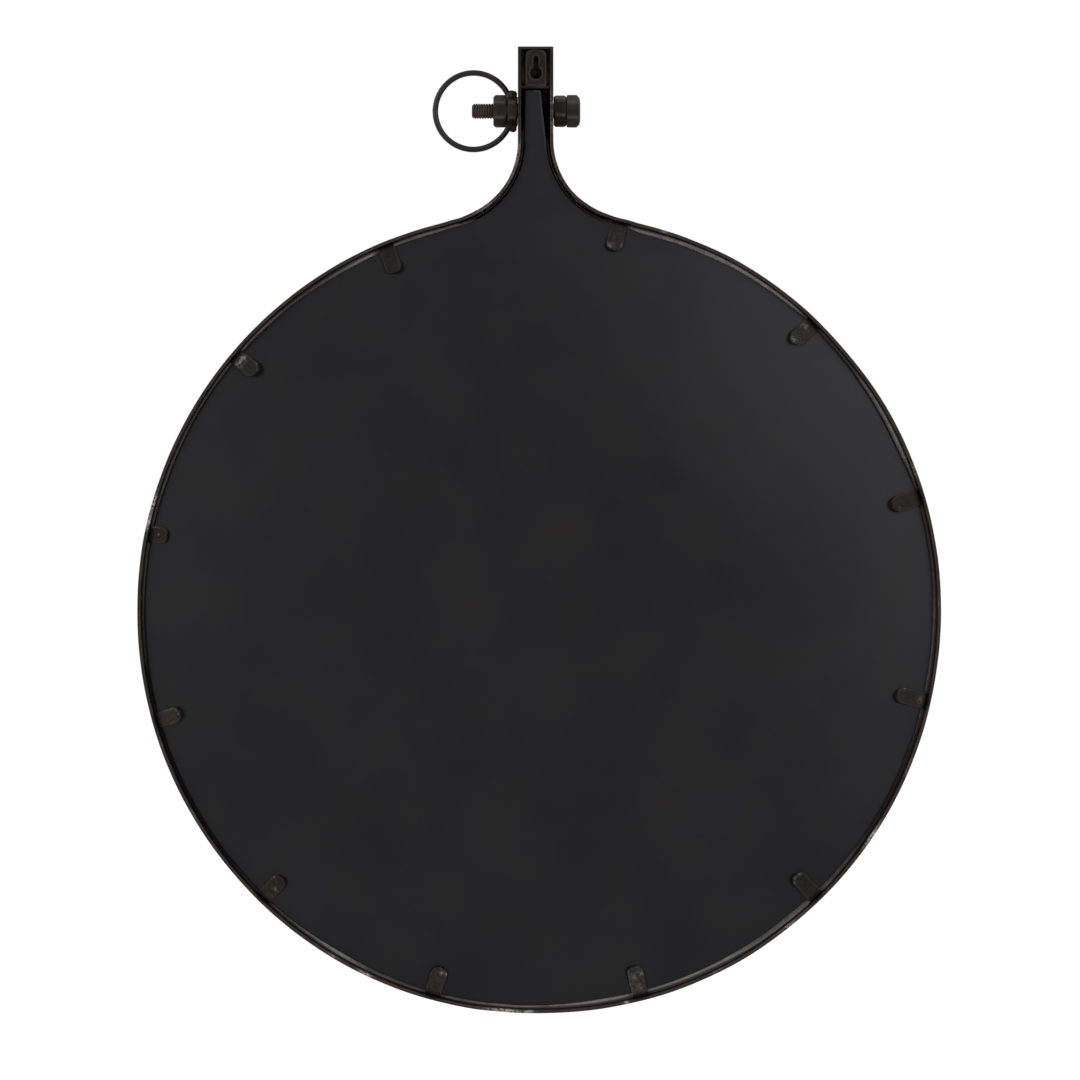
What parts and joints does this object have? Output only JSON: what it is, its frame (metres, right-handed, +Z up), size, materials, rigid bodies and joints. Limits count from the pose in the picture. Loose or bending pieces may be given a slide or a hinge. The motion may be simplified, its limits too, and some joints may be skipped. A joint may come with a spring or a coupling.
{
  "type": "round mirror",
  "caption": "Round mirror in an iron strap hoop with a flared neck, a keyhole hanger, bent clips over a backing board, and a through bolt with nuts and a side ring.",
  "frame": {"origin": "middle of the keyhole plate's round entry hole, on the plate's rear face", "axes": "+Z up, -Y out of the front of the mirror, +Y to the wall, +X along the bolt from its head to its thread and ring"},
  "size_m": [0.6548, 0.038, 0.7879],
  "materials": {
    "strap_iron": "blackened mild steel strap, waxed, rubbed through to rust and bare metal on its edges",
    "plate_iron": "blackened sheet steel",
    "hanger_iron": "matt black painted sheet steel",
    "mirror_glass": "silvered float glass with a ground edge",
    "backing_board": "hardboard painted matt charcoal, faintly mottled",
    "clip_iron": "dark brown iron strip, hand bent",
    "bolt_steel": "rusty brown steel, worn smooth on the flats",
    "ring_steel": "charcoal steel wire with a soft sheen"
  },
  "bodies": {
    "frame": {"hoop_band": "strap_iron", "front_plate": "plate_iron", "neck_cap": "strap_iron", "keyhole_plate": "hanger_iron", "hanger_shelf": "hanger_iron", "mirror_glass": "mirror_glass", "backing_board": "backing_board", "clip_01": "clip_iron", "clip_02": "clip_iron", "clip_03": "clip_iron", "clip_04": "clip_iron", "clip_05": "clip_iron", "clip_06": "clip_iron", "clip_07": "clip_iron", "clip_08": "clip_iron", "clip_09": "clip_iron", "clip_10": "clip_iron", "clip_11": "clip_iron", "clip_12": "clip_iron"},
    "bolt": {"bolt": "bolt_steel"},
    "jam_nut": {"jam_nut": "bolt_steel"},
    "ring_nut": {"ring_nut": "bolt_steel", "ring": "ring_steel"},
    "lock_nut": {"lock_nut": "bolt_steel"}
  },
  "joints": [
    {"name": "bolt_turn", "type": "hinge", "parent": "frame", "child": "bolt", "pos_m": [0, -0.02, -0.0292], "axis": [1, 0, 0], "continuous": true},
    {"name": "jam_nut_turn", "type": "hinge", "parent": "bolt", "child": "jam_nut", "pos_m": [-0.0197, -0.02, -0.0292], "axis": [1, 0, 0], "continuous": true},
    {"name": "ring_nut_turn", "type": "hinge", "parent": "bolt", "child": "ring_nut", "pos_m": [0.0193, -0.02, -0.0292], "axis": [1, 0, 0], "continuous": true},
    {"name": "lock_nut_turn", "type": "hinge", "parent": "bolt", "child": "lock_nut", "pos_m": [0.0293, -0.02, -0.0292], "axis": [1, 0, 0], "continuous": true}
  ]
}
